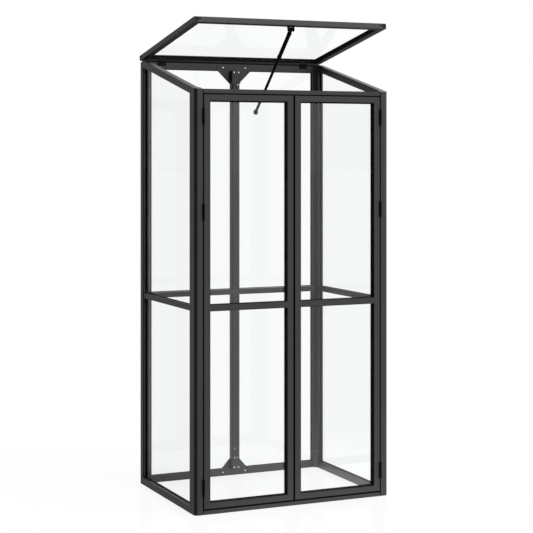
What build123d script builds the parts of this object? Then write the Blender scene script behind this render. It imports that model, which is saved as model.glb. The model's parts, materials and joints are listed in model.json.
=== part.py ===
"""A tall lean-to glass greenhouse: black aluminium frame, two front doors and a propped roof lid.

Frame: millimetres, +Z up, the front looks along -Y, and the origin is the middle of the
footprint on the ground. The lid is drawn open and the doors are drawn shut.
"""

import os
from math import cos, radians, sin, tan

from build123d import *

# Overall
width = 800.0
depth = 600.0
front_height = 1556.0
roof_pitch = 13.2
overrun = 20.0

# Extruded profiles and their glazing slots
wall = 1.6
rail_depth = 23.0
rail_height = 27.5
glass_thickness = 4.0
glass_play = 0.5
slot_depth = 8.0
slot_floor_play = 1.5
slot_setback = 10.5

# Corner posts
post_face = 31.0
post_leg = 38.0
post_flange = 23.0
post_chamfer = 10.0
flange_recess = 3.0
back_flange = 4.0
back_slot_floor = 33.0

# Front rails with the door stop, and the ring of rails at half height
eave_height = 15.5
threshold_height = 14.5
shoulder_gap = 3.5
shoulder_depth = 5.0
stop_thickness = 3.0
stop_drop = 12.0
stop_split = 34.0
mid_low = 742.0
mid_height = 21.0

# Back top rail with its rain seal, and the post in the middle of the back
lid_clearance = 5.0
hinge_gap = 13.0
seal_height = 5.4
seal_thickness = 1.5
nose_width = 32.0
nose_depth = 24.0
nose_chamfer = 3.0
nose_glass_gap = 1.5
groove_width = 2.0
groove_depth = 1.2

# Gusset plates on the middle post
gusset_plate = 2.0
gusset_fit = 0.1
upper_gusset_width = 148.0
gusset_neck = 42.0
upper_gusset_rise = 19.0
upper_gusset_drop = 52.0
lower_gusset_width = 116.0
lower_gusset_sink = 20.0
lower_gusset_rise = 41.0

# Doors
door_gap = 5.5
meeting_gap = 8.0
door_clearance = 5.0
door_bottom_gap = 6.5
door_depth = 28.0
stile_width = 23.5
door_top_rail = 22.0
door_bottom_rail = 21.0
door_mid_rail = 22.0
door_mid_low = 743.0
door_slot_setback = 18.0

# Hinges of the doors and the lid
door_hinge_length = 58.0
hinge_end_distance = 78.5
hinge_middle_distance = 431.0
door_leaf_reach = 20.0
lid_hinge_length = 34.0
lid_hinge_distance = 86.0
frame_leaf_reach = 13.0
lid_leaf_margin = 1.5
knuckle_radius = 4.2
knuckle_lift = 0.4
knuckle_play = 0.4
pin_radius = 1.6
pin_clearance = 0.06
leaf_thickness = 1.5
leaf_step = 1.2
centre_knuckle_share = 0.5

# Lid
lid_open_angle = 10.6
lid_thickness = 20.0
lid_rail = 26.0
lid_inset = 2.0
lid_front_inset = 12.0
lid_back_rail = 27.7
lid_slot_setback = 5.0
plug_depth = 8.0

# Lid stay: bracket under the lid, eye and collared sleeve, and a rod with an eye at its free end
stay_length = 446.0
stay_drop_angle = 42.7
stay_pin_setback = 22.0
stay_pin_drop = 12.0
stay_pin_radius = 2.5
bracket_length = 22.0
bracket_plate = 2.0
ear_thickness = 3.0
ear_play = 4.4
eye_thickness = 9.0
eye_radius = 7.0
neck_radius = 4.5
sleeve_start = 17.0
sleeve_length = 130.0
sleeve_radius = 7.8
collar_radius = 8.7
collar_length = 7.0
rod_radius = 5.5
rod_clearance = 0.06
rod_grip = 60.0
end_eye_radius = 10.2
end_eye_thickness = 13.0
end_eye_chamfer = 2.5
end_eye_hole = 4.0

# Derived places
left = -width / 2
front = -depth / 2
back = depth / 2
slot_width = glass_thickness + 2 * glass_play
engage = slot_depth - slot_floor_play
pane_inset = slot_setback + glass_play
core_inset = post_chamfer / 2 + wall
flange_end = post_leg + post_flange
back_flange_end = post_leg + back_flange
front_pane_edge = flange_end - engage
back_pane_edge = back_slot_floor + slot_floor_play
recessed_depth = rail_depth - flange_recess
recessed_setback = slot_setback - flange_recess
mid_high = mid_low + mid_height
door_mid_high = door_mid_low + door_mid_rail
rise = tan(radians(roof_pitch))
rail_face_y = back - rail_depth
nose_front_y = rail_face_y - nose_depth
nose_back_y = back - pane_inset - glass_thickness - nose_glass_gap


def roof_z(y):
    """Height of the roof plane, which the sloping rails follow."""
    return front_height + (y - front) * rise


knuckle_offset = knuckle_radius + knuckle_lift
lid_gap = lid_clearance / cos(radians(roof_pitch))
back_top = roof_z(rail_face_y) + lid_gap - hinge_gap
lid_hinge_y = rail_face_y - knuckle_offset
lid_hinge_z = back_top + hinge_gap / 2
lid_under = (roof_z(lid_hinge_y) + lid_gap - lid_hinge_z) * cos(radians(roof_pitch))
lid_top = lid_under + lid_thickness
lid_side = left + lid_inset
lid_run = lid_hinge_y - front - lid_front_inset - lid_under * sin(radians(roof_pitch))
lid_length = lid_run / cos(radians(roof_pitch))
door_low = threshold_height + door_bottom_gap
door_high = front_height - eave_height - door_clearance
door_left = left + post_face + door_gap
door_right = -meeting_gap / 2
door_hinge_x = left + post_face + door_gap / 2
door_hinge_y = front - knuckle_offset
door_hinge_heights = (
    door_high - hinge_end_distance,
    door_high - hinge_middle_distance,
    door_low + hinge_end_distance,
)


# Helpers
def polygon(points):
    """Flat face inside a closed outline."""
    return make_face(Polyline(*points, close=True))


def upright(points, low, high):
    """Prism on an outline of (x, y) points, standing between two heights."""
    return extrude(Pos(0, 0, low) * polygon(points), high - low)


def crosswise(points, start, end):
    """Prism on an outline of (y, z) points, running along X."""
    return extrude(Pos(start, 0, 0) * (Plane.YZ * polygon(points)), end - start)


def lengthwise(points, start, end):
    """Prism on an outline of (x, z) points, running along Y."""
    return extrude(Pos(0, start, 0) * (Plane.XZ * polygon(points)), start - end)


def block(x0, x1, y0, y1, z0, z1):
    """Plain box between two corners."""
    corner = (Align.MIN, Align.MIN, Align.MIN)
    return Pos(x0, y0, z0) * Box(x1 - x0, y1 - y0, z1 - z0, align=corner)


def rod(radius, start, end):
    """Round bar along Z between two heights."""
    standing = (Align.CENTER, Align.CENTER, Align.MIN)
    return Pos(0, 0, start) * Cylinder(radius, end - start, align=standing)


def mirrored(shape):
    """The same piece on the right-hand side."""
    return mirror(shape, about=Plane.YZ)


def area(u0, u1, w0, w1):
    """Flat rectangle between two corners of a section."""
    return Pos(u0, w0) * Rectangle(u1 - u0, w1 - w0, align=(Align.MIN, Align.MIN))


def core(across, height, slot_low=False, slot_high=False):
    """Hollow of a rail section, clear of its slots."""
    low = wall + slot_depth if slot_low else wall
    high = height - wall - slot_depth if slot_high else height - wall
    return area(wall, across - wall, low, high)


def section(across, height, setback=0, slot_low=False, slot_high=False, hollow=True):
    """Rail section: u runs inwards from its outer face and w across, with slots in its edges."""
    shape = area(0, across, 0, height)
    if slot_low:
        shape -= area(setback, setback + slot_width, 0, slot_depth)
    if slot_high:
        shape -= area(setback, setback + slot_width, height - slot_depth, height)
    if hollow:
        shape -= core(across, height, slot_low, slot_high)
    return shape


def run(shape, origin, inwards, across, length):
    """Extrude a rail section, with u along inwards and w along across."""
    along = Vector(*inwards).cross(Vector(*across))
    return extrude(Plane(origin=origin, x_dir=inwards, z_dir=along) * shape, length)


RIGHT = (1, 0, 0)
LEFT = (-1, 0, 0)
BACKWARDS = (0, 1, 0)
FORWARDS = (0, -1, 0)
UP = (0, 0, 1)
DOWN = (0, 0, -1)


# Posts
def above_roof(lowered):
    """Cutter for everything above the roof plane, or above a plane lowered from it."""
    y0, y1 = front - overrun, back + overrun
    top = roof_z(back) + depth
    outline = [(y0, roof_z(y0) - lowered), (y1, roof_z(y1) - lowered), (y1, top), (y0, top)]
    return crosswise(outline, left - overrun, width / 2 + overrun)


def flange(end, slot_floor, low, high):
    """Glazing flange beside the leg of a post, and the cutter for its slot, which meets the rails' slots."""
    plate = block(flange_recess, rail_depth, post_leg, end, low, high)
    far = slot_setback + slot_width
    slot = block(slot_setback, far, slot_floor, end + overrun, low - slot_depth, high + slot_depth)
    return plate, slot


def stem(inner_outline, height, core_end, core_height):
    """Hollow leg of a post: chamfered outer corner, with a given outline on the inner side."""
    leg = upright([(post_chamfer, 0), *inner_outline, (0, post_leg), (0, post_chamfer)], 0, height)
    far_a, far_b = rail_depth - wall, core_end - wall
    inner = [(core_inset, core_inset), (far_a, core_inset), (far_a, far_b), (core_inset, far_b)]
    return leg - upright(inner, -overrun, core_height)


def front_post():
    """Front left post, with a flat face beside the door and one flange for the side glass."""
    inner = [(post_face, 0), (post_face, rail_depth), (rail_depth, post_face), (rail_depth, post_leg)]
    tall = roof_z(front + flange_end) + overrun
    place = Pos(left, front, 0)
    leg = place * stem(inner, tall, post_leg, front_height - wall) - above_roof(0)
    plate, slot = flange(flange_end, flange_end - slot_depth, rail_height, tall)
    return leg + (place * (plate - slot) - above_roof(rail_height))


def at_back(shape):
    """Place a piece drawn from a corner at the origin in the back left corner."""
    return Pos(left, back, 0) * mirror(shape, about=Plane.XZ)


def back_post():
    """Back left post, with a diagonal inner web and a slotted flange for each of its two walls."""
    inner = [(post_leg, 0), (post_leg, rail_depth), (rail_depth, post_leg)]
    corner = Plane(origin=(0, 0, 0), z_dir=(1, -1, 0))
    plate, slot = flange(back_flange_end, back_slot_floor, rail_height, back_top - rail_height)
    post = stem(inner, back_top, back_slot_floor, back_top - wall) + mirror(plate, about=corner)
    post = at_back(post - mirror(slot, about=corner))
    plate, slot = flange(back_flange_end, back_slot_floor, rail_height, back_top + overrun)
    post += at_back(plate) - above_roof(rail_height)
    return post - (at_back(slot) - above_roof(rail_height - slot_depth))


def centre_post():
    """Hollow post in the middle of the back: a grooved nose inside the glass, in two lengths."""
    nose, groove = nose_width / 2, groove_width / 2
    one_side = [
        (groove, nose_front_y + groove_depth),
        (groove, nose_front_y),
        (nose - nose_chamfer, nose_front_y),
        (nose, nose_front_y + nose_chamfer),
        (nose, nose_back_y),
    ]
    outline = one_side + [(-x, y) for x, y in reversed(one_side)]
    side, face = nose - wall, nose_front_y + nose_chamfer + wall
    inner = block(-side, side, face, nose_back_y - wall, 0, back_top)
    lower = upright(outline, rail_height, mid_low) - inner
    return lower + (upright(outline, mid_high, back_top - rail_height) - inner)


# Rails
def side_base_rail():
    shape = section(rail_depth, rail_height, slot_setback, slot_high=True)
    return run(shape, (left, back - post_leg, 0), RIGHT, UP, depth - 2 * post_leg)


def side_mid_rail():
    shape = section(recessed_depth, mid_height, recessed_setback, True, True, hollow=False)
    origin = (left + flange_recess, back - back_flange_end, mid_low)
    return run(shape, origin, RIGHT, UP, depth - back_flange_end - flange_end)


def sloping_band(y0, y1, top, bottom):
    """Outline between two lines parallel to the roof plane, at two drops below it."""
    return [
        (y0, roof_z(y0) - bottom),
        (y1, roof_z(y1) - bottom),
        (y1, roof_z(y1) - top),
        (y0, roof_z(y0) - top),
    ]


def sloping_rail():
    """Left roof rail between the posts, with the side glass held in its under edge."""
    y0, y1 = front + post_leg, back - post_leg
    past0, past1 = y0 - overrun, y1 + overrun
    slot_top = rail_height - slot_depth
    rail = crosswise(sloping_band(y0, y1, 0, rail_height), left, left + rail_depth)
    slot = sloping_band(past0, past1, slot_top, rail_height + overrun)
    inner = sloping_band(past0, past1, wall, slot_top - wall)
    rail -= crosswise(slot, left + slot_setback, left + slot_setback + slot_width)
    return rail - crosswise(inner, left + wall, left + rail_depth - wall)


def back_base_rail():
    shape = section(rail_depth, rail_height, slot_setback, slot_high=True)
    return run(shape, (width / 2 - post_leg, back, 0), FORWARDS, UP, width - 2 * post_leg)


def back_top_rail():
    shape = section(rail_depth, rail_height, slot_setback, slot_low=True)
    origin = (width / 2 - post_leg, back, back_top - rail_height)
    return run(shape, origin, FORWARDS, UP, width - 2 * post_leg)


def rain_seal():
    """Upright seal on the back rail and posts, in the gap under the lid."""
    seal_back = rail_face_y + seal_thickness
    return block(lid_side, -lid_side, rail_face_y, seal_back, back_top, back_top + seal_height)


def back_mid_rail():
    outer = back - flange_recess
    shape = section(outer - nose_front_y, mid_height, recessed_setback, True, True, hollow=False)
    origin = (width / 2 - back_flange_end, outer, mid_low)
    return run(shape, origin, FORWARDS, UP, width - 2 * back_flange_end)


def shouldered_rail(low, high):
    """Front rail between the posts, cut back at both ends so that a dark joint shows there."""
    end = left + post_face
    rail = block(end, -end, front, front + rail_depth, low, high)
    notch = block(end, end + shoulder_gap, front, front + shoulder_depth, low, high)
    return rail - notch - mirrored(notch)


def eave_rail():
    """Front rail over the doors, with a stop lip behind each door and a way between them for the stay."""
    low = front_height - eave_height
    start, end = left + post_face, -stop_split / 2
    stop_front = front + door_depth + door_clearance
    stop_back = stop_front + stop_thickness
    stop = block(start, end, front + rail_depth, stop_back, low, low + stop_thickness)
    stop += block(start, end, stop_front, stop_back, low - stop_drop, low)
    return shouldered_rail(low, front_height) + stop + mirrored(stop)


# Gussets
def gusset(wing, edge, wing_end, neck_end):
    """Formed plate: two wings on the edge of a rail and a raised channel over the middle post's nose."""
    neck = gusset_neck / 2
    inside = nose_width / 2 + gusset_fit
    outside = inside + gusset_plate
    seat = nose_front_y - gusset_fit
    low, high = sorted((edge, neck_end))
    wings = [(-wing, wing_end), (wing, wing_end), (wing, edge)]
    wings += [(neck, neck_end), (-neck, neck_end), (-wing, edge)]
    plate = lengthwise(wings, rail_face_y - gusset_plate, rail_face_y)
    channel = block(-outside, outside, seat - gusset_plate, rail_face_y, low, high)
    return plate + channel - block(-inside, inside, seat, rail_face_y + overrun, low, high)


def gussets():
    """Upper and lower plate that tie the middle post to the back rails."""
    top, base = back_top - rail_height, rail_height
    upper = gusset(upper_gusset_width / 2, top, top + upper_gusset_rise, top - upper_gusset_drop)
    return upper + gusset(lower_gusset_width / 2, base, base - lower_gusset_sink, base + lower_gusset_rise)


# Glass of the walls
def side_glass():
    """Lower and upper pane of the left wall; the upper one is cut to the roof slope."""
    x0 = left + pane_inset
    x1 = x0 + glass_thickness
    y0 = front + front_pane_edge
    y1 = back - back_pane_edge
    lower = block(x0, x1, y0, y1, rail_height - engage, mid_low + engage)
    top = rail_height - engage
    outline = [
        (y0, mid_high - engage),
        (y1, mid_high - engage),
        (y1, roof_z(y1) - top),
        (y0, roof_z(y0) - top),
    ]
    return lower + crosswise(outline, x0, x1)


def back_glass():
    """Lower and upper pane of the back wall, behind the middle post."""
    x0 = left + back_pane_edge
    y1 = back - pane_inset
    y0 = y1 - glass_thickness
    lower = block(x0, -x0, y0, y1, rail_height - engage, mid_low + engage)
    return lower + block(x0, -x0, y0, y1, mid_high - engage, back_top - rail_height + engage)


# Left door
def hinge_stile():
    shape = section(door_depth, stile_width, door_slot_setback, slot_high=True)
    return run(shape, (door_left, front, door_high), BACKWARDS, RIGHT, door_high - door_low)


def meeting_stile():
    shape = section(door_depth, stile_width, door_slot_setback, slot_high=True)
    return run(shape, (door_right, front, door_low), BACKWARDS, LEFT, door_high - door_low)


def door_rail(height, low, **form):
    shape = section(door_depth, height, door_slot_setback, **form)
    origin = (door_left + stile_width, front, low)
    return run(shape, origin, BACKWARDS, UP, door_right - door_left - 2 * stile_width)


def door_glass():
    """Lower and upper pane of a door."""
    x0 = door_left + stile_width - engage
    x1 = door_right - stile_width + engage
    y0 = front + door_slot_setback + glass_play
    y1 = y0 + glass_thickness
    lower = block(x0, x1, y0, y1, door_low + door_bottom_rail - engage, door_mid_low + engage)
    return lower + block(x0, x1, y0, y1, door_mid_high - engage, door_high - door_top_rail + engage)


# Hinges, drawn about a pin on the Z axis with the leaves reaching back along +Y
def knuckle_hinge(length, leaf_side, leaf_reach, fixed):
    """One half of a butt hinge: the fixed half has the pin and outer knuckles, the other the middle."""
    half = length / 2
    middle = half * centre_knuckle_share
    clear = knuckle_radius + knuckle_play
    gap = middle + knuckle_play
    x0, x1 = leaf_side
    leaf = block(x0, x1, leaf_step, leaf_reach, -half, half)
    if fixed:
        leaf -= rod(clear, -gap, gap)
        barrel = rod(knuckle_radius, -half, -gap) + rod(knuckle_radius, gap, half)
        return leaf + barrel + rod(pin_radius, -half, half)
    leaf -= rod(clear, -half - overrun, -middle)
    leaf -= rod(clear, middle, half + overrun)
    bore = rod(pin_radius + pin_clearance, -half - overrun, half + overrun)
    return leaf + rod(knuckle_radius, -middle, middle) - bore


def door_hinges(fixed):
    """Three hinge halves in the gap between the front left post and the left door."""
    edge = door_gap / 2
    side = (-edge, leaf_thickness - edge) if fixed else (edge - leaf_thickness, edge)
    reach = door_leaf_reach + knuckle_offset
    half = knuckle_hinge(door_hinge_length, side, reach, fixed)
    return [Pos(door_hinge_x, door_hinge_y, z) * half for z in door_hinge_heights]


def lid_hinges(fixed):
    """Two hinge halves about the lid's pin line, with X along the pin and their leaf upright."""
    face = knuckle_offset
    side = (face - leaf_thickness, face)
    under_slot = lid_top - lid_slot_setback - slot_width - lid_leaf_margin
    reach = hinge_gap / 2 + frame_leaf_reach if fixed else under_slot
    half = knuckle_hinge(lid_hinge_length, side, reach, fixed)
    turned = Plane(origin=(0, 0, 0), x_dir=BACKWARDS, z_dir=LEFT if fixed else RIGHT) * half
    reached = width / 2 - lid_hinge_distance
    return [Pos(x, 0, 0) * turned for x in (-reached, reached)]


# Lid, drawn flat about its pin line and then opened
def opened(shape):
    """Turn a piece of the flat lid up about the pin line and put it on the back rail."""
    return Pos(0, lid_hinge_y, lid_hinge_z) * Rot(-lid_open_angle, 0, 0) * shape


def lid_section(height):
    return section(lid_thickness, height, lid_slot_setback, slot_high=True)


def lid_side_rail():
    origin = (lid_side, knuckle_offset, lid_top)
    return run(lid_section(lid_rail), origin, DOWN, RIGHT, lid_length + knuckle_offset)


def lid_front_rail():
    origin = (lid_side + lid_rail, -lid_length, lid_top)
    return run(lid_section(lid_rail), origin, DOWN, BACKWARDS, -2 * (lid_side + lid_rail))


def lid_back_rail_piece():
    origin = (-lid_side, knuckle_offset + lid_back_rail, lid_top)
    return run(lid_section(lid_back_rail), origin, DOWN, FORWARDS, -2 * lid_side)


def end_plug(height, origin, inwards, across):
    """Plug pushed into the open end of a lid rail."""
    return run(core(lid_thickness, height, slot_high=True), origin, inwards, across, plug_depth)


def lid_plugs():
    """Plugs in the front ends of the side rails and in both ends of the back rail."""
    front_end = (lid_side, plug_depth - lid_length, lid_top)
    back_end = (lid_side + plug_depth, knuckle_offset + lid_back_rail, lid_top)
    left_plugs = [
        end_plug(lid_rail, front_end, DOWN, RIGHT),
        end_plug(lid_back_rail, back_end, DOWN, FORWARDS),
    ]
    return left_plugs + [mirrored(plug) for plug in left_plugs]


def lid_glass():
    x0 = lid_side + lid_rail - engage
    z1 = lid_top - lid_slot_setback - glass_play
    return block(
        x0, -x0, lid_rail - lid_length - engage, knuckle_offset + engage, z1 - glass_thickness, z1
    )


# Stay
stay_pin_y = stay_pin_setback - lid_length
stay_pin_z = lid_under - stay_pin_drop


def across_bar(radius, start, end):
    """Round bar along X between two places."""
    return Rot(0, 90, 0) * rod(radius, start, end)


def stay_bracket():
    """Clevis under the front rail of the lid: a plate, two ears and the pin."""
    inner = eye_thickness / 2 + ear_play
    outer = inner + ear_thickness
    half = bracket_length / 2
    plate = block(
        -outer, outer, stay_pin_y - half, stay_pin_y + half, lid_under - bracket_plate, lid_under
    )
    ear = block(inner, outer, -eye_radius, eye_radius, 0, stay_pin_drop)
    ear += across_bar(eye_radius, inner, outer)
    pin = across_bar(stay_pin_radius, -outer, outer)
    return plate + Pos(0, stay_pin_y, stay_pin_z) * (ear + mirrored(ear) + pin)


def hung(shape):
    """Place a piece of the stay, drawn along +Y from its eye, at the pin under the open lid."""
    slant = Rot(lid_open_angle - stay_drop_angle, 0, 0)
    return opened(Pos(0, stay_pin_y, stay_pin_z) * slant * shape)


def along_bar(radius, start, end):
    """Round bar along Y between two places."""
    return Rot(-90, 0, 0) * rod(radius, start, end)


def stay_sleeve():
    """Eye, flat neck and round sleeve with a bore for the rod."""
    half = eye_thickness / 2
    end = sleeve_start + sleeve_length
    eye = across_bar(eye_radius, -half, half)
    neck = block(-half, half, 0, sleeve_start, -neck_radius, neck_radius)
    sleeve = along_bar(sleeve_radius, sleeve_start, end)
    sleeve += along_bar(collar_radius, sleeve_start, sleeve_start + collar_length)
    sleeve += along_bar(collar_radius, end - collar_length, end)
    bore = along_bar(rod_radius + rod_clearance, end - rod_grip, end + overrun)
    hole = across_bar(stay_pin_radius + pin_clearance, -half - overrun, half + overrun)
    return eye + neck - hole + sleeve - bore


def stay_rod():
    """Rod that runs out of the sleeve to a drilled eye with softened rims."""
    start = sleeve_start + sleeve_length - rod_grip
    half = end_eye_thickness / 2
    disc = across_bar(end_eye_radius, -half, half)
    eye = chamfer(disc.edges().filter_by(GeomType.CIRCLE), end_eye_chamfer)
    hole = across_bar(end_eye_hole, -half - overrun, half + overrun)
    end = Pos(0, stay_length, 0)
    return along_bar(rod_radius, start, stay_length) + end * eye - end * hole


def pieces():
    """Every node of the greenhouse, by name."""
    side_panes = side_glass()
    post_halves = door_hinges(True)
    fixed_halves = post_halves + [mirrored(half) for half in post_halves]
    fixed_halves += [Pos(0, lid_hinge_y, lid_hinge_z) * half for half in lid_hinges(True)]
    parts = {
        "back_centre_post": centre_post(),
        "back_base_rail": back_base_rail(),
        "back_mid_rail": back_mid_rail(),
        "back_top_rail": back_top_rail(),
        "back_rain_seal": rain_seal(),
        "front_threshold_rail": shouldered_rail(0, threshold_height),
        "front_eave_rail": eave_rail(),
        "gussets": gussets(),
        "back_glass": back_glass(),
        "side_glass": side_panes + mirrored(side_panes),
        "lid_front_rail": opened(lid_front_rail()),
        "lid_back_rail": opened(lid_back_rail_piece()),
        "lid_glass": opened(lid_glass()),
        "lid_end_plugs": Compound([opened(plug) for plug in lid_plugs()]),
        "hinge_frame_halves": Compound(fixed_halves),
        "lid_hinge_lid_halves": Compound([opened(half) for half in lid_hinges(False)]),
        "stay_bracket": opened(stay_bracket()),
        "stay_sleeve": hung(stay_sleeve()),
        "stay_rod": hung(stay_rod()),
    }
    paired = {
        "front_{}_post": front_post(),
        "back_{}_post": back_post(),
        "{}_base_rail": side_base_rail(),
        "{}_mid_rail": side_mid_rail(),
        "{}_sloping_rail": sloping_rail(),
        "{}_door_hinge_stile": hinge_stile(),
        "{}_door_meeting_stile": meeting_stile(),
        "{}_door_top_rail": door_rail(door_top_rail, door_high - door_top_rail, slot_low=True),
        "{}_door_bottom_rail": door_rail(door_bottom_rail, door_low, slot_high=True),
        "{}_door_mid_rail": door_rail(
            door_mid_rail, door_mid_low, slot_low=True, slot_high=True, hollow=False
        ),
        "{}_door_glass": door_glass(),
        "{}_door_hinge_door_halves": Compound(door_hinges(False)),
        "lid_{}_rail": opened(lid_side_rail()),
    }
    for name, shape in paired.items():
        parts[name.format("left")] = shape
        parts[name.format("right")] = mirrored(shape)
    return parts


os.makedirs("parts", exist_ok=True)
for node, solid in pieces().items():
    export_step(solid, f"parts/{node}.step")
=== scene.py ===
"""Looks of the glass greenhouse: powder-coated frame, clear panes, glazing strips and small fixings.

Metres, +Z up, the front looks along -Y, and the origin is the middle of the footprint on the ground.
"""

import json
from math import cos, radians, sin, tan

import bmesh
import bpy
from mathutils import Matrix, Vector


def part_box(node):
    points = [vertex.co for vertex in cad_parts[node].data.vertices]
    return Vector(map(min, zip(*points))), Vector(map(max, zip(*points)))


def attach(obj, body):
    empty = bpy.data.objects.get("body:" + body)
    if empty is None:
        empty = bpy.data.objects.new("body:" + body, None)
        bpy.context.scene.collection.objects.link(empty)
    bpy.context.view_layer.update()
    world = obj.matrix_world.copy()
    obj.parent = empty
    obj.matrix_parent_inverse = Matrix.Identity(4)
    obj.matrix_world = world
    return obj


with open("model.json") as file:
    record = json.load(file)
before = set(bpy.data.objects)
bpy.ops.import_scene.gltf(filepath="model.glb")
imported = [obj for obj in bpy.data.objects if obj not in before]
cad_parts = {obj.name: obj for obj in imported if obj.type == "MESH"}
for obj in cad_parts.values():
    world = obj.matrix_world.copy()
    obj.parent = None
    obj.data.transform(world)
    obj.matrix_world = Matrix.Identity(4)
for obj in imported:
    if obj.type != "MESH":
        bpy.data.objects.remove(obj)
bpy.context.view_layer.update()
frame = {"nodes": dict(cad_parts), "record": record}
nodes = frame["nodes"]
joints = {joint["name"]: joint for joint in frame["record"]["behaviour"]["joints"]}

# Places that the frame's boxes don't give
ROOF_PITCH = radians(13.2)
LID_OPEN = radians(10.6)
STAY_DROP = radians(42.7)
STAY_LENGTH = 0.446
RAIL_DEPTH = 0.023
POST_LEG = 0.038
EAVE_HEIGHT = 0.0155
GUSSET_PLATE = 0.002
GLASS = 0.004
DOOR_BARREL = 0.058
LID_BARREL = 0.034
MIDDLE_HINGE_HEIGHT = 1.1045
# The lid laid flat, from its pin line
LID_RAIL = 0.026
LID_LENGTH = 0.57437
LID_BACK_EDGE = 0.0046
LID_UNDER = 0.00528
LID_PANE_LOW = 0.01578

# Small pieces
# Black linings of the door and lid reveals are dark sheets of painted shade: their width, setback from the
# face and deeper lip
PAINTED_SHADE_LINING = 0.0014
PAINTED_SHADE_LINING_SETBACK = 0.0012
PAINTED_SHADE_LINING_LIP = 0.0035
STRIP_WIDTH = 0.0014
STRIP_HEIGHT = 0.0024
STRIP_SEAT = 0.0002
SEAL_PLAY = 0.0006
SEAL_SETBACK = 0.002
SEAL_THICKNESS = 0.006
SEAL_MEETING_END = 0.0036
SEAL_HINGE_END = 0.0026
SEAL_TURN = 0.006
RIVET_RADIUS = 0.0028
RIVET_HEIGHT = 0.0008
POST_RIVET_RADIUS = 0.0021
POST_RIVET_HEIGHT = 0.0006
CAP_RADIUS = 0.0036
CAP_HEIGHT = 0.0016
BUSH_RADIUS = 0.0039
BUSH_BORE = 0.0026
BUSH_LENGTH = 0.0136
# Shares of a strip's width, of a seal's thickness and of a seal's height
STRIP_ROUNDING = 0.2
SEAL_GROOVE_EDGE = 0.25
SEAL_GROOVE_DEPTH = 0.3
# Steps of a domed head: inset as a share of its radius, lift as a share of its height
DOME_STEPS = ((0.16, 0.0), (0.20, 0.35), (0.24, 0.18), (0.12, -0.30))
# Least part of a face's normal along a way that counts as facing it
FACING = 0.9
FORWARDS = (0.0, -1.0, 0.0)
SMOOTH_ANGLE = radians(35.0)

# X and Z of the rivets on faces that look to the front
GUSSET_WING_RIVETS = ((-0.0495, 1.6684), (0.0495, 1.6684), (-0.0500, 0.0150), (0.0500, 0.0150))
GUSSET_NECK_RIVETS = ((-0.0100, 1.6488), (0.0100, 1.6488), (-0.0092, 0.0362), (0.0092, 0.0362))
MIDDLE_POST_RIVETS = ((0.0065, 1.5985), (-0.0070, 0.1128), (-0.0070, 0.0756), (0.0055, 0.0756))
MID_RAIL_RIVETS = ((-0.0095, 0.7527), (0.0095, 0.7527))
# Rivets of a back corner: share of the way along the slanted web, and Z
CORNER_RIVETS = (
    (0.27, 0.7520),
    (0.78, 0.7520),
    (0.27, 0.0693),
    (0.74, 0.0693),
    (0.30, 0.0150),
    (0.28, 1.6715),
    (0.22, 1.6180),
    (0.68, 1.6180),
)

# Looks
WHITE = (1.0, 1.0, 1.0, 1.0)
COOL_CAST = 1.03
COAT_SHADE = 0.010
DIE_LINE_STRETCH = 0.012
# Shares of dull black painted shade on the lid's undersides and on the right front post's chamfer
LID_PAINTED_SHADE = 0.85
CHAMFER_PAINTED_SHADE = 0.6
GLASS_TINT = (0.981, 0.985, 0.987, 1.0)
GLASS_IOR = 1.5

# Stage, lamps and camera
FLOOR_SIZE = 160.0
FLOOR_DROP = 0.0004
FLOOR_TONE = (0.16, 0.16, 0.16, 1.0)
FLOOR_GLOW = 0.875
FLOOR_GLOW_IN_GLOSS = 0.9
FLOOR_GLOSS = 0.04
FLOOR_ROUGHNESS = 0.2
FRONT_LEFT_CORNER = (-0.4, -0.3, 0.0)
ROOM_GLOSS = 1.12
ROOM_FILL = 0.62
DARK_WAY = (-0.91, -0.41, 0.0)
DARK_LOSS = 0.97
DIM_WAY = (-0.41, 0.91, 0.0)
DIM_LOSS = 0.62
BRIGHT_WAY = (0.91, 0.41, 0.0)
BRIGHT_GAIN = 0.6
KEY_TURN = (radians(38.0), radians(8.0), radians(20.0))
KEY_STRENGTH = 1.2
KEY_SPREAD = radians(55.0)
CAMERA_PLACE = (-2.400, -5.353, 1.333)
CAMERA_TURN = (radians(90.0), 0.0, radians(-24.34))
CAMERA_SENSOR = 36.0
CAMERA_LENS = 100.77
CAMERA_DROP = -0.219
CAMERA_REACH = 400.0


# Shader maths
class Value:
    """A socket of a node tree that takes part in sums, which add their own nodes."""

    def __init__(self, tree, socket):
        self.tree = tree
        self.socket = socket

    def sum(self, operation, first, second):
        return self.tree.node("ShaderNodeMath", {"operation": operation}, {0: first, 1: second})

    def __add__(self, other):
        return self.sum("ADD", self, other)

    def __radd__(self, other):
        return self.sum("ADD", other, self)

    def __sub__(self, other):
        return self.sum("SUBTRACT", self, other)

    def __rsub__(self, other):
        return self.sum("SUBTRACT", other, self)

    def __mul__(self, other):
        return self.sum("MULTIPLY", self, other)

    def __rmul__(self, other):
        return self.sum("MULTIPLY", other, self)

    def clamped(self):
        """Keep between 0 and 1."""
        return self.sum("MINIMUM", self.sum("MAXIMUM", self, 0.0), 1.0)

    def stepped(self, low, high):
        """Rise smoothly from 0 at one value to 1 at another."""
        settings = {"interpolation_type": "SMOOTHSTEP"}
        sockets = {"Value": self, "From Min": low, "From Max": high}
        return self.tree.node("ShaderNodeMapRange", settings, sockets)


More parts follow.
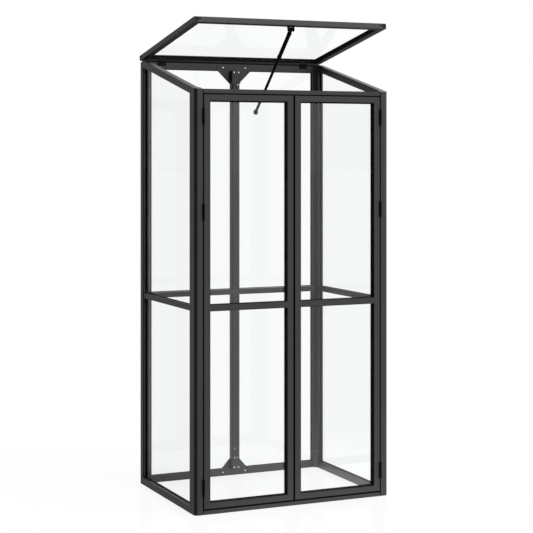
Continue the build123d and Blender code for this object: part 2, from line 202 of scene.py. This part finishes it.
class Tree:
    """The node tree of a material or a world, built node by node."""

    def __init__(self, owner):
        self.owner = owner
        owner.use_nodes = True
        owner.node_tree.nodes.clear()

    def node(self, kind, settings=None, sockets=None, output=0):
        """Add a node of any kind: its settings first, then the values or links of its sockets."""
        made = self.owner.node_tree.nodes.new(kind)
        for name, value in (settings or {}).items():
            setattr(made, name, value)
        for name, value in (sockets or {}).items():
            if isinstance(value, Value):
                self.owner.node_tree.links.new(value.socket, made.inputs[name])
            else:
                made.inputs[name].default_value = value
        return Value(self, made.outputs[output]) if made.outputs else made

    def ray(self, *kinds):
        """1 for rays of any of the given kinds, otherwise 0."""
        first, *others = (self.node("ShaderNodeLightPath", output=f"Is {kind} Ray") for kind in kinds)
        return sum(others, first).clamped()

    def towards(self, way, direction):
        """How far a direction points along a given way, from -1 to 1."""
        sockets = {0: way, 1: direction}
        return self.node("ShaderNodeVectorMath", {"operation": "DOT_PRODUCT"}, sockets, output="Value")


class Finish(Tree):
    """One material."""

    def __init__(self, name):
        super().__init__(bpy.data.materials.new(name))

    def speckle(self, scale, detail=2.0, stretch=(1.0, 1.0, 1.0)):
        """Soft noise of a given number of grains a metre, stretched along each axis."""
        here = self.node("ShaderNodeTexCoord", output="Object")
        place = self.node("ShaderNodeMapping", None, {"Vector": here, "Scale": stretch})
        return self.node("ShaderNodeTexNoise", None, {"Vector": place, "Scale": scale, "Detail": detail})

    def blend(self, share, first, second):
        """Mix two colours."""
        sockets = {"Factor": share, 6: (*first, 1.0), 7: (*second, 1.0)}
        return self.node("ShaderNodeMix", {"data_type": "RGBA"}, sockets, output=2)

    def bump(self, height, distance, strength):
        """Shallow relief, of a given depth in metres."""
        sockets = {"Height": height, "Distance": distance, "Strength": strength}
        return self.node("ShaderNodeBump", None, sockets)

    def mixed(self, share, first, second):
        """Mix two shaders."""
        return self.node("ShaderNodeMixShader", None, {0: share, 1: first, 2: second})

    def shown(self, shader):
        """Put a shader on the surface."""
        self.node("ShaderNodeOutputMaterial", None, {"Surface": shader})
        return self.owner

    def solid(self, colour, roughness, normal, specular=0.5, metallic=0.0):
        """Shader of a solid surface."""
        sockets = {
            "Base Color": colour,
            "Roughness": roughness,
            "Normal": normal,
            "Specular IOR Level": specular,
            "Metallic": metallic,
        }
        return self.node("ShaderNodeBsdfPrincipled", None, sockets)


def grey(shade):
    """Near-neutral dark tone, a touch cool."""
    return shade, shade, COOL_CAST * shade


def parted(finish, kind):
    """The three parts of a place (Object) or of the direction that a surface faces (Normal)."""
    whole = finish.node("ShaderNodeTexCoord", output=kind)
    return [finish.node("ShaderNodeSeparateXYZ", None, {"Vector": whole}, output=axis) for axis in "XYZ"]


def painted_shade_share(finish, place):
    """Share of dull black painted shade, from 0 to 1, by the place that the piece has: faces turned down,
    door edges, the threshold top, front posts beside the door and a chamfer.
    """
    across, inwards, up = parted(finish, "Normal")
    # Faces turned down are painted dull black as shade
    under = (0.0 - up).stepped(0.35, 0.80)
    if place == "lid":
        return LID_PAINTED_SHADE * under
    if place == "threshold":
        # The threshold's top face, in the gap under the doors, is painted dull black as shade
        return (under + up.stepped(0.50, 0.90)).clamped()
    if place not in ("door", "jamb"):
        return under
    # Faces turned sideways, in the gaps beside the doors, are painted dull black as shade
    sideways = (across * across).stepped(0.50, 0.80)
    if place == "door":
        return (under + sideways).clamped()
    # A front post is painted dull black as shade beside the door (within 0.38 of the middle, in the front 23
    # mm), and partly so on the chamfer of the right post
    x, y, _ = parted(finish, "Object")
    beside_door = (0.0 - x * x).stepped(-0.148, -0.144) * (0.0 - y).stepped(0.2765, 0.2775)
    chamfer = across.stepped(0.40, 0.65) * (0.0 - inwards).stepped(0.40, 0.65)
    return (under + sideways * beside_door + CHAMFER_PAINTED_SHADE * chamfer).clamped()


def powder_coat(name, along, place):
    """Satin black coating on an extrusion, with faint die lines along its length, and dull black painted
    shade on undersides, in the door gaps and on a chamfer.
    """
    finish = Finish(name)
    stretch = tuple(DIE_LINE_STRETCH if axis == along else 1.0 for axis in "XYZ")
    lines = finish.speckle(300.0, detail=3.0, stretch=stretch)
    peel = finish.speckle(1100.0)
    cloud = finish.speckle(9.0, detail=3.0)
    mottle = (0.7 * lines + 0.3 * cloud).stepped(0.28, 0.72)
    colour = finish.blend(mottle, grey(0.55 * COAT_SHADE), grey(1.50 * COAT_SHADE))
    relief = finish.bump(0.4 * peel + 0.6 * lines, distance=0.00010, strength=0.5)
    roughness = 0.34 + 0.06 * cloud + 0.14 * lines
    satin = finish.solid(colour, roughness, relief, specular=0.66)
    # The dull near-black shader below is painted shade, mixed over the satin coat on undersides, door gaps
    # and a chamfer
    grain = finish.speckle(1600.0)
    painted_shade_colour = finish.blend(grain, grey(0.002), grey(0.005))
    seal = finish.solid(painted_shade_colour, 0.7 + 0.1 * grain, relief, specular=0.06)
    return finish.shown(finish.mixed(painted_shade_share(finish, place), satin, seal))


def clear_glass(name, gloss_share):
    """Clear float glass with a faint cool tint and a gloss that grows at a glancing angle."""
    finish = Finish(name)
    smear = finish.speckle(14.0, detail=4.0, stretch=(1.0, 1.0, 0.25))
    glance = finish.node("ShaderNodeFresnel", None, {"IOR": GLASS_IOR})
    through = finish.node("ShaderNodeBsdfTransparent", None, {"Color": GLASS_TINT})
    ripple = finish.bump(smear, distance=0.00005, strength=0.06)
    sockets = {"Color": WHITE, "Roughness": 0.01 + 0.03 * smear, "Normal": ripple}
    gloss = finish.node("ShaderNodeBsdfGlossy", None, sockets)
    share = gloss_share * (0.75 + 0.5 * smear) + 0.04 * glance
    return finish.shown(finish.mixed(share, through, gloss))


def dull_rubber(name):
    """Black rubber of the glazing strips, and of the linings that are dark sheets of painted shade in the
    reveals.
    """
    finish = Finish(name)
    grain = finish.speckle(1600.0)
    cloud = finish.speckle(40.0, detail=3.0)
    colour = finish.blend(cloud, grey(0.003), grey(0.006))
    relief = finish.bump(grain, distance=0.00005, strength=0.4)
    return finish.shown(finish.solid(colour, 0.66 + 0.16 * grain, relief, specular=0.08))


def moulded_black(name, shade, gloss):
    """Fine-grained moulded plastic."""
    finish = Finish(name)
    grain = finish.speckle(2200.0)
    cloud = finish.speckle(60.0)
    colour = finish.blend(cloud, grey(0.8 * shade), grey(1.25 * shade))
    relief = finish.bump(grain, distance=0.00006, strength=0.5)
    return finish.shown(finish.solid(colour, 0.42 + 0.14 * grain, relief, specular=gloss))


def satin_metal(name, shade, gloss):
    """Black-coated metal of the hinges and the stay."""
    finish = Finish(name)
    rub = finish.speckle(300.0, detail=3.0, stretch=(1.0, 1.0, 0.2))
    cloud = finish.speckle(50.0)
    colour = finish.blend(cloud, grey(0.75 * shade), grey(1.3 * shade))
    relief = finish.bump(rub, distance=0.00004, strength=0.4)
    return finish.shown(finish.solid(colour, 0.36 + 0.16 * rub, relief, specular=gloss))


def zinc_plate(name, shade):
    """Plated rivets."""
    finish = Finish(name)
    spangle = finish.speckle(700.0, detail=3.0)
    colour = finish.blend(spangle, grey(0.9 * shade), grey(1.1 * shade))
    relief = finish.bump(spangle, distance=0.00002, strength=0.3)
    return finish.shown(finish.solid(colour, 0.26 + 0.16 * spangle, relief, metallic=1.0))


rubber = dull_rubber("glazing_rubber")
zinc = zinc_plate("bright_zinc", shade=0.78)
# A darker copy of the bright zinc, as painted shade on the rivets of the back mid rail and the back corners
dull_zinc = zinc_plate("dull_zinc", shade=0.20)
black_metal = satin_metal("black_metal", shade=0.004, gloss=0.10)
fittings = {
    "wall_glass": clear_glass("wall_pane", gloss_share=0.014),
    "door_glass": clear_glass("door_pane", gloss_share=0.025),
    "lid_glass": clear_glass("lid_pane", gloss_share=0.008),
    "hinge_metal": black_metal,
    "stay_bracket": satin_metal("bracket_metal", shade=0.004, gloss=0.10),
    "stay_sleeve": moulded_black("sleeve_plastic", shade=0.003, gloss=0.02),
    "stay_rod": satin_metal("rod_metal", shade=0.004, gloss=0.02),
    "end_plug": moulded_black("plug_plastic", shade=0.010, gloss=0.16),
    "seal_rubber": rubber,
}
coats = {}


def coat_of(node, slot):
    """Powder coat of a rail or post, with its die lines along the piece."""
    low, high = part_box(node)
    size = high - low
    along = max("XYZ", key=lambda axis: size["XYZ".index(axis)])
    place_of_slot = {"door_frame": "door", "lid_frame": "lid"}
    place_of_node = {
        "front_threshold_rail": "threshold",
        "front_left_post": "jamb",
        "front_right_post": "jamb",
    }
    place = place_of_slot.get(slot) or place_of_node.get(node, "frame")
    name = f"{slot}_{place}_along_{along.lower()}"
    if name not in coats:
        coats[name] = powder_coat(name, along, place)
    return coats[name]


for part in frame["record"]["subparts"]:
    node, slot = part["node"], part["material_slot"]
    nodes[node].data.materials.clear()
    nodes[node].data.materials.append(fittings.get(slot) or coat_of(node, slot))


# Building small pieces
def begun():
    """Settle the primitive just added at its place, and start editing it."""
    bpy.ops.object.transform_apply(location=True, rotation=True, scale=True)
    bpy.ops.object.mode_set(mode="EDIT")
    bpy.ops.mesh.select_all(action="DESELECT")
    return bpy.context.object


def pick(group, test):
    """Pick the faces or the corners (verts) of the edited piece that pass a test."""
    bpy.ops.mesh.select_mode(type="FACE" if group == "faces" else "VERT")
    bpy.ops.mesh.select_all(action="DESELECT")
    mesh = bpy.context.object.data
    shape = bmesh.from_edit_mesh(mesh)
    for item in getattr(shape, group):
        item.select_set(test(item))
    bmesh.update_edit_mesh(mesh)


def finished(name, body, finish):
    """Turn the edited piece's normals outwards, smooth it, and put it on its body."""
    piece = bpy.context.object
    bpy.ops.mesh.select_all(action="SELECT")
    bpy.ops.mesh.normals_make_consistent(inside=False)
    bpy.ops.object.mode_set(mode="OBJECT")
    bpy.ops.object.shade_smooth_by_angle(angle=SMOOTH_ANGLE)
    piece.name = name
    piece.data.materials.append(finish)
    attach(piece, body)
    return piece


def pane_strip(name, body, low, high, width, slope=0.0, lip=0.0):
    """Rubber ring around a pane, between two corners.

    Its upper edge can rise along Y by a slope, and can be deeper than the others by a lip.
    """
    middle, size = (low + high) / 2, high - low
    across = min(range(3), key=lambda axis: size[axis])
    bpy.ops.object.select_all(action="DESELECT")
    bpy.ops.mesh.primitive_cube_add(size=1.0, location=middle, scale=size)
    begun()
    pick("verts", lambda vert: vert.co.z > middle.z and vert.co.y > middle.y)
    bpy.ops.transform.translate(value=(0.0, 0.0, slope * size.y))
    pick("faces", lambda face: abs(face.normal[across]) > FACING)
    bpy.ops.mesh.inset(thickness=width, use_individual=True)
    bpy.ops.mesh.bridge_edge_loops()
    if lip:
        pick("verts", lambda vert: middle.z < vert.co.z < high.z - width / 2)
        bpy.ops.transform.translate(value=(0.0, 0.0, -lip))
    bpy.ops.mesh.select_all(action="SELECT")
    bpy.ops.mesh.bevel(offset=STRIP_ROUNDING * width, segments=2)
    return finished(name, body, rubber)


def dome(radius, height):
    """Domed head about +Z with a small dimple, to be copied."""
    bpy.ops.object.select_all(action="DESELECT")
    middle = (0.0, 0.0, height / 2)
    bpy.ops.mesh.primitive_cylinder_add(vertices=24, radius=radius, depth=height, location=middle)
    begun()
    for share, lift in DOME_STEPS:
        pick("faces", lambda face: face.normal.z > FACING and len(face.verts) > 4)
        bpy.ops.mesh.inset(thickness=share * radius)
        bpy.ops.transform.translate(value=(0.0, 0.0, lift * height))
    bpy.ops.object.mode_set(mode="OBJECT")
    return bpy.context.object


def copied(head, name, place, facing, body, finish):
    """Copy a head with a mesh of its own, seat it at a place, and turn it to face a way."""
    piece = head.copy()
    piece.data = head.data.copy()
    bpy.context.collection.objects.link(piece)
    bpy.ops.object.select_all(action="DESELECT")
    piece.select_set(True)
    bpy.context.view_layer.objects.active = piece
    piece.location = place
    piece.rotation_euler = Vector((0.0, 0.0, 1.0)).rotation_difference(Vector(facing)).to_euler()
    begun()
    return finished(name, body, finish)


# Strips around the panes
def door_strips(side):
    """Deep black linings in front of a door's two panes, dark sheets of painted shade over the reveals, and
    shallow strips behind them.
    """
    stiles = [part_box(f"{side}_door_{kind}_stile") for kind in ("hinge", "meeting")]
    (low, first), (second, high) = sorted(stiles, key=lambda box: box[0].x)
    rails = [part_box(f"{side}_door_{kind}_rail") for kind in ("bottom", "mid", "top")]
    pane_low, pane_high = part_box(f"{side}_door_glass")
    depths = {
        # The lining in front of the pane is a dark sheet of painted shade across the reveal
        "lining": (low.y + PAINTED_SHADE_LINING_SETBACK, pane_low.y - STRIP_SEAT),
        "strip": (pane_high.y + STRIP_SEAT, high.y),
    }
    for level, (under, over) in zip(("lower", "upper"), zip(rails, rails[1:])):
        for kind, (y0, y1) in depths.items():
            start = Vector((first.x, y0, under[1].z))
            end = Vector((second.x, y1, over[0].z))
            lip = PAINTED_SHADE_LINING_LIP if (level, kind) == ("upper", "lining") else 0.0
            pane_strip(f"{side}_door_{level}_{kind}", f"{side}_door", start, end, PAINTED_SHADE_LINING, lip=lip)


def door_seal(side, edge, reach):
    """Grooved rubber seal along the top or bottom edge of a door, up to a front rail that it just clears.

    It runs past both stiles into the gaps beside the door, and turns a little way along them.
    """
    stiles = [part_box(f"{side}_door_{kind}_stile") for kind in ("hinge", "meeting")]
    (low, _), (_, high) = sorted(stiles, key=lambda box: box[0].x)
    overhangs = (SEAL_HINGE_END, SEAL_MEETING_END)
    if side == "right":
        overhangs = overhangs[::-1]
    start = high.z if edge == "top" else low.z
    height = abs(reach - start) - SEAL_PLAY
    outer = 1.0 if edge == "top" else -1.0
    middle = Vector((
        (low.x + high.x) / 2,
        low.y + SEAL_SETBACK + SEAL_THICKNESS / 2,
        start + outer * height / 2,
    ))
    size = (high.x - low.x, SEAL_THICKNESS, height)
    bpy.ops.object.select_all(action="DESELECT")
    bpy.ops.mesh.primitive_cube_add(size=1.0, location=middle, scale=size)
    begun()
    for way, overhang in zip((-1.0, 1.0), overhangs):
        pick("faces", lambda face: way * face.normal.x > FACING)
        bpy.ops.mesh.extrude_region_move(TRANSFORM_OT_translate={"value": (way * overhang, 0.0, 0.0)})

    def beside_door(face):
        return not low.x < face.calc_center_median().x < high.x

    pick("faces", lambda face: outer * face.normal.z < -FACING and beside_door(face))
    bpy.ops.mesh.extrude_region_move(TRANSFORM_OT_translate={"value": (0.0, 0.0, -outer * SEAL_TURN)})
    pick("faces", lambda face: outer * face.normal.z > FACING)
    bpy.ops.mesh.inset(thickness=SEAL_GROOVE_EDGE * SEAL_THICKNESS)
    bpy.ops.transform.translate(value=(0.0, 0.0, -SEAL_GROOVE_DEPTH * outer * height))
    finished(f"{side}_door_{edge}_seal", f"{side}_door", rubber)


def wall_levels(top):
    """Lower and upper opening of a wall, up to a given height."""
    mid_low, mid_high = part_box("left_mid_rail")
    return {"lower": (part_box("left_base_rail")[1].z, mid_low.z), "upper": (mid_high.z, top)}


def side_strips(side):
    """Strips inside and outside the two panes of a side wall; the upper ones follow the roof."""
    sign = -1.0 if side == "left" else 1.0
    y0, y1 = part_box(f"front_{side}_post")[1].y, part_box(f"back_{side}_post")[0].y
    outer = max(abs(edge.x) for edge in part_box("side_glass"))
    faces = {"outer": outer + STRIP_SEAT, "inner": outer - GLASS - STRIP_SEAT - STRIP_HEIGHT}
    rise = (y0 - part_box("front_left_post")[0].y) * tan(ROOF_PITCH)
    # The roof rail is as deep as the base rail is high
    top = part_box("front_eave_rail")[1].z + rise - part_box("left_base_rail")[1].z
    for level, (z0, z1) in wall_levels(top).items():
        slope = tan(ROOF_PITCH) if level == "upper" else 0.0
        for kind, face in faces.items():
            x0, x1 = sorted((sign * face, sign * (face + STRIP_HEIGHT)))
            start, end = Vector((x0, y0, z0)), Vector((x1, y1, z1))
            pane_strip(f"{side}_{level}_{kind}_strip", "frame", start, end, STRIP_WIDTH, slope)


def back_strips():
    """Strips inside and outside the two panes of the back wall."""
    pane_low, pane_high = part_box("back_glass")
    x0, x1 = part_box("back_left_post")[1].x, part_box("back_right_post")[0].x
    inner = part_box("back_centre_post")[1].y + STRIP_SEAT
    faces = {
        "outer": (pane_high.y + STRIP_SEAT, pane_high.y + STRIP_HEIGHT),
        "inner": (inner, pane_low.y - STRIP_SEAT),
    }
    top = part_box("back_centre_post")[1].z
    for level, (z0, z1) in wall_levels(top).items():
        for kind, (y0, y1) in faces.items():
            start, end = Vector((x0, y0, z0)), Vector((x1, y1, z1))
            pane_strip(f"back_{level}_{kind}_strip", "frame", start, end, STRIP_WIDTH)


def lid_strips():
    """Strips over and under the lid's pane, drawn flat about the pin line and then opened; the lining under
    the pane is a dark sheet of painted shade over the reveal.
    """
    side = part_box("lid_front_rail")[1].x
    pane_high = LID_PANE_LOW + GLASS
    levels = {
        "strip": (pane_high + STRIP_SEAT, pane_high + STRIP_HEIGHT, STRIP_WIDTH),
        # The lining under the pane is a dark sheet of painted shade across the reveal
        "lining": (LID_UNDER + PAINTED_SHADE_LINING_SETBACK, LID_PANE_LOW - STRIP_SEAT, PAINTED_SHADE_LINING),
    }
    for kind, (z0, z1, width) in levels.items():
        start = Vector((-side, LID_RAIL - LID_LENGTH, z0))
        end = Vector((side, LID_BACK_EDGE, z1))
        strip = pane_strip(f"lid_{kind}", "lid", start, end, width)
        strip.rotation_euler.x = -LID_OPEN
        strip.location = joints["lid_hinge"]["pos_m"]
        bpy.ops.object.transform_apply(location=True, rotation=True, scale=True)


# Fixings
def rivets():
    """Rivets of the gussets, the middle post, the back mid rail and the back corners."""
    head = dome(RIVET_RADIUS, RIVET_HEIGHT)
    post_head = dome(POST_RIVET_RADIUS, POST_RIVET_HEIGHT)
    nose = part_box("back_centre_post")[0].y
    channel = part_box("gussets")[0].y
    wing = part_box("back_base_rail")[0].y - GUSSET_PLATE
    front_faces = {
        "gusset_wing": (wing, GUSSET_WING_RIVETS),
        "gusset_neck": (channel, GUSSET_NECK_RIVETS),
        "middle_post": (nose, MIDDLE_POST_RIVETS),
        "back_mid_rail": (nose, MID_RAIL_RIVETS),
    }
    for group, (y, places) in front_faces.items():
        pattern = head if group.startswith("gusset") else post_head
        # The back mid rail's rivets take the darker zinc as painted shade
        plate = dull_zinc if group == "back_mid_rail" else zinc
        for count, (x, z) in enumerate(places, 1):
            name = f"{group}_rivet_{count}"
            copied(pattern, name, (x, y, z), FORWARDS, "frame", plate)
    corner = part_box("back_right_post")[1]
    web_start = Vector((corner.x - POST_LEG, corner.y - RAIL_DEPTH, 0.0))
    web_end = Vector((corner.x - RAIL_DEPTH, corner.y - POST_LEG, 0.0))
    # The back corner rivets take the darker zinc as painted shade
    for side, sign in (("right", 1.0), ("left", -1.0)):
        for count, (share, z) in enumerate(CORNER_RIVETS, 1):
            spot = web_start.lerp(web_end, share)
            name, place, facing = f"back_{side}_rivet_{count}", (sign * spot.x, spot.y, z), (-sign, -1.0, 0.0)
            copied(post_head, name, place, facing, "frame", dull_zinc)
    for pattern in (head, post_head):
        bpy.data.objects.remove(pattern)


def pin_caps():
    """Domed ends of the hinge pins and of the stay's pin."""
    head = dome(CAP_RADIUS, CAP_HEIGHT)
    up, along = Vector((0.0, 0.0, 1.0)), Vector((1.0, 0.0, 0.0))
    for side in ("left", "right"):
        pin = Vector(joints[f"{side}_door_hinge"]["pos_m"])
        low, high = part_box(f"{side}_door_hinge_door_halves")
        tops = (low.z + DOOR_BARREL, MIDDLE_HINGE_HEIGHT + DOOR_BARREL / 2, high.z)
        for count, top in enumerate(tops, 1):
            for end, z, way in (("low", top - DOOR_BARREL, -up), ("high", top, up)):
                name = f"{side}_door_pin_{count}_{end}"
                copied(head, name, (pin.x, pin.y, z), way, "frame", black_metal)
    pin = Vector(joints["lid_hinge"]["pos_m"])
    low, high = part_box("lid_hinge_lid_halves")
    for count, x in enumerate((low.x, low.x + LID_BARREL, high.x - LID_BARREL, high.x), 1):
        way = -along if count % 2 else along
        copied(head, f"lid_pin_{count}", (x, pin.y, pin.z), way, "frame", black_metal)
    pin = Vector(joints["stay_pivot"]["pos_m"])
    low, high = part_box("stay_bracket")
    for name, x, way in (("left", low.x, -along), ("right", high.x, along)):
        copied(head, f"stay_pin_{name}", (x, pin.y, pin.z), way, "lid", black_metal)
    bpy.data.objects.remove(head)


def stay_bush():
    """Bush in the eye at the free end of the stay."""
    pin = Vector(joints["stay_pivot"]["pos_m"])
    middle = pin + STAY_LENGTH * Vector((0.0, cos(STAY_DROP), -sin(STAY_DROP)))
    bpy.ops.object.select_all(action="DESELECT")
    bpy.ops.mesh.primitive_cylinder_add(
        vertices=32,
        radius=BUSH_RADIUS,
        depth=BUSH_LENGTH,
        location=middle,
        rotation=(0.0, radians(90.0), 0.0),
    )
    begun()
    pick("faces", lambda face: abs(face.normal.x) > FACING)
    bpy.ops.mesh.inset(thickness=BUSH_RADIUS - BUSH_BORE, use_individual=True)
    bpy.ops.mesh.bridge_edge_loops()
    finished("stay_end_bush", "stay", black_metal)


for side in ("left", "right"):
    door_strips(side)
    door_seal(side, "top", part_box("front_eave_rail")[1].z - EAVE_HEIGHT)
    door_seal(side, "bottom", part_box("front_threshold_rail")[1].z)
    side_strips(side)
back_strips()
lid_strips()
rivets()
pin_caps()
stay_bush()


# Stage, lamps and camera
def room_light(tree, way):
    """Light that the room lends to a gloss from one way: little from the left, more from the right."""
    dark = tree.towards(way, DARK_WAY).stepped(0.20, 0.80)
    dim = tree.towards(way, DIM_WAY).stepped(0.30, 0.90)
    bright = tree.towards(way, BRIGHT_WAY).stepped(0.40, 0.90)
    return (1.0 - DARK_LOSS * dark) * (1.0 - DIM_LOSS * dim) * (1.0 + BRIGHT_GAIN * bright)


def pale_floor():
    """Pale floor that keeps the object's soft shadow and a faint reflection of it."""
    bpy.ops.mesh.primitive_plane_add(size=FLOOR_SIZE, location=(0.0, 0.0, -FLOOR_DROP))
    floor = bpy.context.object
    floor.name = "floor"
    finish = Finish("pale_floor")
    here = finish.node("ShaderNodeTexCoord", output="Object")
    sockets = {0: here, 1: FRONT_LEFT_CORNER}
    from_corner = finish.node("ShaderNodeVectorMath", {"operation": "SUBTRACT"}, sockets)
    outwards = finish.node("ShaderNodeVectorMath", {"operation": "NORMALIZE"}, {0: from_corner})
    reflected = FLOOR_GLOW_IN_GLOSS * finish.ray("Glossy") * room_light(finish, outwards)
    lent = finish.ray("Camera", "Transmission") + reflected
    matt = finish.node("ShaderNodeBsdfDiffuse", None, {"Color": FLOOR_TONE})
    glow = finish.node("ShaderNodeEmission", None, {"Color": WHITE, "Strength": FLOOR_GLOW * lent})
    both = finish.node("ShaderNodeAddShader", None, {0: matt, 1: glow})
    sockets = {"Color": WHITE, "Roughness": FLOOR_ROUGHNESS}
    gloss = finish.node("ShaderNodeBsdfGlossy", None, sockets)
    floor.data.materials.append(finish.shown(finish.mixed(FLOOR_GLOSS, both, gloss)))


def white_room():
    """World that shows white behind the object, with dark sides for the coat's gloss to pick up."""
    world = bpy.data.worlds.new("white_room")
    bpy.context.scene.world = world
    sky = Tree(world)
    room = room_light(sky, sky.node("ShaderNodeTexCoord", output="Generated"))
    seen, gloss = sky.ray("Camera", "Transmission"), sky.ray("Glossy")
    strength = seen + (1.0 - seen) * (ROOM_GLOSS * gloss * room + (1.0 - gloss) * ROOM_FILL)
    back = sky.node("ShaderNodeBackground", None, {"Color": WHITE, "Strength": strength})
    sky.node("ShaderNodeOutputWorld", None, {"Surface": back})


def lamps():
    """One broad key from the front right and above."""
    bpy.ops.object.light_add(type="SUN", rotation=KEY_TURN)
    key = bpy.context.object
    key.name = "key_light"
    key.data.energy = KEY_STRENGTH
    key.data.angle = KEY_SPREAD


def eye():
    """Level camera with a drop shift, at the photo's place."""
    bpy.ops.object.camera_add(location=CAMERA_PLACE, rotation=CAMERA_TURN)
    camera = bpy.context.object
    camera.name = "photo_view"
    camera.data.sensor_width = CAMERA_SENSOR
    camera.data.lens = CAMERA_LENS
    camera.data.shift_y = CAMERA_DROP
    camera.data.clip_end = CAMERA_REACH
    bpy.context.scene.camera = camera


pale_floor()
white_room()
lamps()
eye()
bpy.context.scene.view_settings.view_transform = "Standard"
